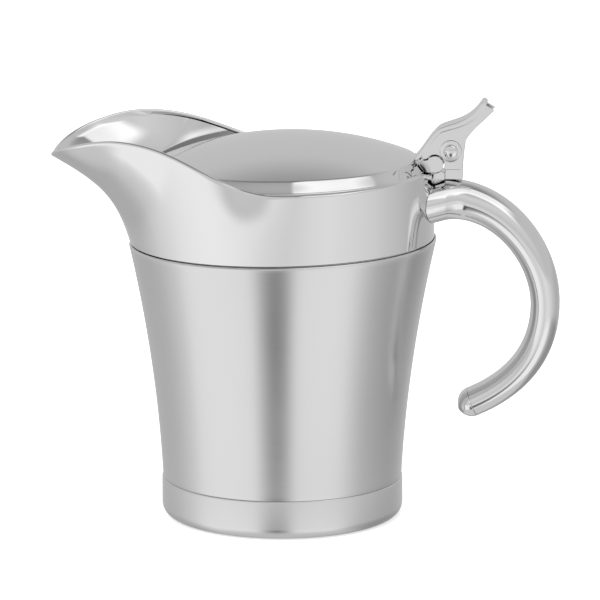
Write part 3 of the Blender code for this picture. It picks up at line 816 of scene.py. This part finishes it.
def cheek_outline():
    clear_of_lid = 4
    loop = [tuple(p) for p in web_under(0.5)[clear_of_lid:]]
    along = web_line()[-1][1]
    heel = web_under(1.0)[-1] + Vector((along.y, -along.x)) * PAD_DEPTH
    back = [tuple(heel)] + from_pivot([PAD_HOLLOW, CHEEK_BACK[0], CHEEK_BACK[1]])
    steps = 12
    loop += [tuple(bezier(back, i / steps)[0]) for i in range(steps + 1)]
    loop += from_pivot([CHEEK_BACK[2]])
    corner_z = CHEEK_FLOOR_Z + CHEEK_CORNER_R
    loop += arc(PIVOT.x + CHEEK_CORNER_X, corner_z, CHEEK_CORNER_R, 0.0, -90.0, 5)
    loop.append((PIVOT.x + CHEEK_FRONT_X, CHEEK_FLOOR_Z))
    loop += arc(LOBE_X, LOBE_Z, LOBE_R + LOBE_GAP, *CHEEK_LOBE_SWEEP, 20)
    nape_x, nape_z = bracket_outline()[-1]
    loop.append((nape_x, nape_z + LOBE_GAP))
    return loop


def bracket_outline():
    side = math.asin(BRACKET_HIGH.y / RIM_R)
    rim_top = max(rim_height(0.0), rim_height(side)) + BEAD_R + FIT
    brim_x = LID_X + BRIM_R
    seat = brim_x - SEAT_LENGTH
    loop = [(seat, lid_top(seat) + SEAT_GAP)]
    loop.append((brim_x - BRIM_EDGE, lid_top(brim_x - BRIM_EDGE) + SEAT_GAP))
    loop.append((brim_x + FIT, lid_top(brim_x) - 0.5 * BRIM_EDGE))
    loop.append((brim_x + FIT, rim_top))
    loop.append((mix(brim_x, LOBE_X, 0.5), rim_top))
    loop += arc(LOBE_X, LOBE_Z, LOBE_R, *BRACKET_LOBE_SWEEP, 28)
    loop.append((seat + BRACKET_NAPE[0], LOBE_Z + BRACKET_NAPE[1]))
    return loop


def make_lever():
    metal = cast("lever_cast")
    outline = web_outline()
    plate("lever_web", outline, WEB_HALF, 0.0, WEB_ROUND, metal, "thumb_lever", "lid")
    half = 0.5 * CHEEK_THICK
    outline = cheek_outline()
    for y, label in ((CHEEK_Y, "near"), (-CHEEK_Y, "far")):
        name = f"lever_cheek_{label}"
        plate(name, outline, half, y, CHEEK_ROUND, metal, "thumb_lever", "lid")


def make_bracket():
    metal = cast("bracket_cast")
    half = BRACKET_HIGH.y
    outline = bracket_outline()
    plate("bracket_skin", outline, half, 0.0, BRACKET_ROUND, metal, "lid_bracket", "lid")


def make_post():
    foot = max(handle_top(POST_FRONT_X), handle_top(POST_BACK_X)) + FIT - POST_SINK
    loop = [(POST_FRONT_X, foot), (POST_BACK_X, foot), (POST_BACK_X, PIVOT.z)]
    loop += arc(PIVOT.x, PIVOT.z, POST_TOP_R, *POST_TOP_SWEEP, 28)
    loop.append((POST_FRONT_X, PIVOT.z - POST_TOP_R - FIT))
    metal = cast("post_cast")
    plate("post_skin", loop, POST_HIGH.y, 0.0, POST_ROUND, metal, "hinge_post", "boat")


def make_brace():
    face = POST_FRONT_X - BRACE_GAP
    floor = handle_top(face) + BRACE_GAP
    toe = collar_face(0.0, floor) + BRACE_TOE_GAP
    crown = arc(LOBE_X, LOBE_Z, LOBE_R + FIT, *BRACE_LOBE_SWEEP, 10)
    loop = [(toe, floor), (face, floor), (face, crown[0][1] - BRACE_SHOULDER)] + crown
    loop.append((toe, crown[-1][1] - BRACE_TOE_DROP))
    metal = cast("brace_cast")
    plate("brace_skin", loop, BRACE_HIGH.y, 0.0, BRACE_ROUND, metal, "post_brace", "boat")


def turn_on_pivot(name, rows, material, node_name, closed):
    """A piece turned about the hinge axis from rows of radius and y; closed for a ring."""
    verts = []
    for radius, y in rows:
        for turn in angles(TUBE_STEPS):
            x = PIVOT.x + radius * math.cos(turn)
            verts.append((x, y, PIVOT.z + radius * math.sin(turn)))
    if closed:
        faces = ring_faces(len(rows), TUBE_STEPS, True)
    else:
        faces = end_faces(len(rows), TUBE_STEPS)
    obj = add_mesh(name, verts, faces, material, "lid")
    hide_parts(node_name)


def make_pin():
    """Rivet with a low domed head at each end."""
    head_from = PIN_HIGH.y - HEAD_HEIGHT
    rise = PIN_HIGH.y - head_from
    half = [(PIN_R, head_from), (HEAD_R, head_from), (HEAD_R, head_from + HEAD_EDGE)]
    steps = 14
    for i in range(1, steps):
        turn = math.pi / 2 * i / steps
        lift = mix(HEAD_EDGE, rise, math.sin(turn))
        half.append((HEAD_R * math.cos(turn), head_from + lift))
    half.append((HEAD_TIP_R, head_from + rise))
    rows = [(r, -y) for r, y in reversed(half)] + half
    turn_on_pivot("pin_skin", rows, cast("pin_cast"), "hinge_pin", False)


def make_washers():
    inner = abs(WASHER_HIGH.y)
    outer = inner + WASHER_THICK
    half = [(WASHER_BORE_R, inner), (WASHER_R, inner)]
    half += arc(WASHER_R - WASHER_EDGE, outer - WASHER_EDGE, WASHER_EDGE, 0.0, 90.0, 5)
    half.append((WASHER_BORE_R, outer))
    for node_name, side in (("washer_near", -1.0), ("washer_far", 1.0)):
        rows = [(r, side * y) for r, y in half]
        metal = cast(f"{node_name}_cast")
        turn_on_pivot(f"{node_name}_skin", rows, metal, node_name, True)


# Studio


# Brightness round the object by azimuth in degrees, 0 on the camera's side: from well
# below the horizon, and from just below it
LOW_LIGHT = (
    (-180, 0.48), (-140, 0.47), (-105, 0.58), (-80, 1.02), (-58, 2.05), (-38, 1.70),
    (-20, 0.94), (-8, 0.24), (2, 0.12), (10, 0.42), (21, 1.26), (36, 1.84),
    (55, 1.20), (80, 0.62), (110, 0.36), (150, 0.34), (180, 0.46),
)
LEVEL_LIGHT = (
    (-180, 0.62), (-138, 0.54), (-104, 0.68), (-81, 0.86), (-57, 0.98), (-29, 0.95),
    (-13, 0.84), (2, 0.76), (12, 0.76), (33, 0.84), (48, 0.83), (83, 0.70),
    (110, 0.56), (140, 0.50), (180, 0.62),
)

# The rest by height or by side, as parts of a unit direction: each fade is where the next
# light starts and where it is full
DEEP_LIGHT = 0.66
DEEP_FADE = (-0.85, -0.70)
LEVEL_FADE = (-0.36, -0.24)
CEILING_FADE = (-0.02, 0.12)
CEILING_HEIGHTS = (0.55, 0.98)
CEILING_LIGHT = (0.60, 0.24)
FRONT_FADE = (-0.10, -0.55)
FRONT_LIGHT = 0.26
PANEL_X = ((0.06, 0.10), (0.78, 0.60))
PANEL_Y = ((-0.50, -0.36), (0.22, 0.14))
PANEL_Z = (0.15, 0.40)
PANEL_LIGHT = 0.75


def light_round(tree, azimuth, stops):
    """Brightness round the horizon, from a list of angle and brightness."""
    ramp = node(tree, "ShaderNodeValToRGB")
    bar = ramp.color_ramp
    bar.interpolation = "CARDINAL"
    while len(bar.elements) > 1:
        bar.elements.remove(bar.elements[-1])
    bar.elements[0].position = 0.0
    for i, (angle, level) in enumerate(stops):
        place = (angle + 180.0) / 360.0
        stop = bar.elements[0] if i == 0 else bar.elements.new(place)
        stop.color = grey(level)
    tree.links.new(azimuth, ramp.inputs["Fac"])
    return ramp.outputs["Color"]


def edge(tree, value, dark, bright):
    """0 where value is at dark or past it, 1 at bright, with a soft step between."""
    return remap(tree, value, dark, bright, 0.0, 1.0)


def blend(tree, share, first, second):
    """first where share is 0 and second where it is 1, each a number or a node's output."""
    made = node(tree, "ShaderNodeMix", data_type="FLOAT")
    tree.links.new(share, made.inputs["Factor"])
    feed(tree, made.inputs["A"], first)
    feed(tree, made.inputs["B"], second)
    return made.outputs["Result"]


def product(tree, *factors):
    whole = factors[0]
    for factor in factors[1:]:
        whole = calc(tree, "MULTIPLY", whole, factor)
    return whole


def make_world():
    """A studio that lights by direction: two bands, a ceiling and one soft panel."""
    world = bpy.data.worlds.new("studio")
    bpy.context.scene.world = world
    world.use_nodes = True
    tree = world.node_tree
    background = tree.nodes["Background"]
    coords = node(tree, "ShaderNodeTexCoord")
    parts = node(tree, "ShaderNodeSeparateXYZ")
    tree.links.new(coords.outputs["Generated"], parts.inputs["Vector"])
    x, y, z = parts.outputs
    turn = calc(tree, "ARCTAN2", x, calc(tree, "MULTIPLY", y, -1.0))
    azimuth = calc(tree, "MULTIPLY_ADD", turn, 0.5 / math.pi, 0.5)
    low = light_round(tree, azimuth, LOW_LIGHT)
    level = light_round(tree, azimuth, LEVEL_LIGHT)
    low = blend(tree, edge(tree, z, *DEEP_FADE), DEEP_LIGHT, low)
    near = blend(tree, edge(tree, z, *LEVEL_FADE), low, level)
    high = remap(tree, z, *CEILING_HEIGHTS, *CEILING_LIGHT)
    front = product(tree, remap(tree, y, *FRONT_FADE, 0.0, FRONT_LIGHT), z)
    ceiling = calc(tree, "ADD", high, front)
    whole = blend(tree, edge(tree, z, *CEILING_FADE), near, ceiling)
    sides = [edge(tree, x, *fade) for fade in PANEL_X]
    sides += [edge(tree, y, *fade) for fade in PANEL_Y]
    panel = product(tree, *sides, edge(tree, z, *PANEL_Z))
    whole = calc(tree, "MULTIPLY_ADD", panel, PANEL_LIGHT, whole)
    tree.links.new(whole, background.inputs["Color"])


def make_floor():
    """White paper, which the steel doesn't mirror."""
    half = 6.0
    mesh = bpy.data.meshes.new("floor")
    corners = [(-half, -half, 0.0), (half, -half, 0.0), (half, half, 0.0), (-half, half, 0.0)]
    mesh.from_pydata(corners, [], [(0, 1, 2, 3)])
    material = bpy.data.materials.new("floor_paper")
    material.use_nodes = True
    tree = material.node_tree
    shader = tree.nodes["Principled BSDF"]
    shader.inputs["Roughness"].default_value = 0.9
    shader.inputs["Specular IOR Level"].default_value = 0.1
    shader.inputs["Emission Color"].default_value = grey(1.0)
    shader.inputs["Emission Strength"].default_value = 0.45
    fibre = grain(tree, PLAIN, FLOOR_SCALE)
    tone = node(tree, "ShaderNodeMix", data_type="RGBA")
    tone.inputs["A"].default_value = grey(0.88)
    tone.inputs["B"].default_value = grey(0.92)
    tree.links.new(fibre, tone.inputs["Factor"])
    tree.links.new(tone.outputs["Result"], shader.inputs["Base Color"])
    mesh.materials.append(material)
    floor = bpy.data.objects.new("floor", mesh)
    bpy.context.scene.collection.objects.link(floor)
    floor.visible_glossy = False


def make_lights():
    """A wide soft light overhead for the floor, which the steel doesn't mirror."""
    light = bpy.data.lights.new("sky_panel", "SUN")
    light.energy = 2.4
    light.angle = math.radians(70.0)
    panel = bpy.data.objects.new("sky_panel", light)
    panel.rotation_euler = (math.radians(12.0), math.radians(-10.0), 0.0)
    panel.visible_glossy = False
    bpy.context.scene.collection.objects.link(panel)


def make_camera():
    a = CAMERA_AZIMUTH
    e = CAMERA_ELEVATION
    back = Vector((math.sin(a) * math.cos(e), -math.cos(a) * math.cos(e), math.sin(e)))
    data = bpy.data.cameras.new("camera")
    data.lens = CAMERA_LENS
    data.sensor_width = 36.0
    data.clip_start = 0.01
    data.clip_end = 50.0
    camera = bpy.data.objects.new("camera", data)
    camera.location = LOOK_AT + back * CAMERA_DISTANCE
    camera.rotation_mode = "QUATERNION"
    camera.rotation_quaternion = (-back).to_track_quat("-Z", "Y")
    bpy.context.scene.collection.objects.link(camera)
    bpy.context.scene.camera = camera


bpy.context.scene.view_settings.view_transform = "Standard"
make_camera()
make_world()
make_lights()
make_floor()
make_shell()
make_base_cap()
make_cup()
make_collar()
make_lid()
make_handle()
make_end_cap()
make_lever()
make_bracket()
make_post()
make_brace()
make_pin()
make_washers()
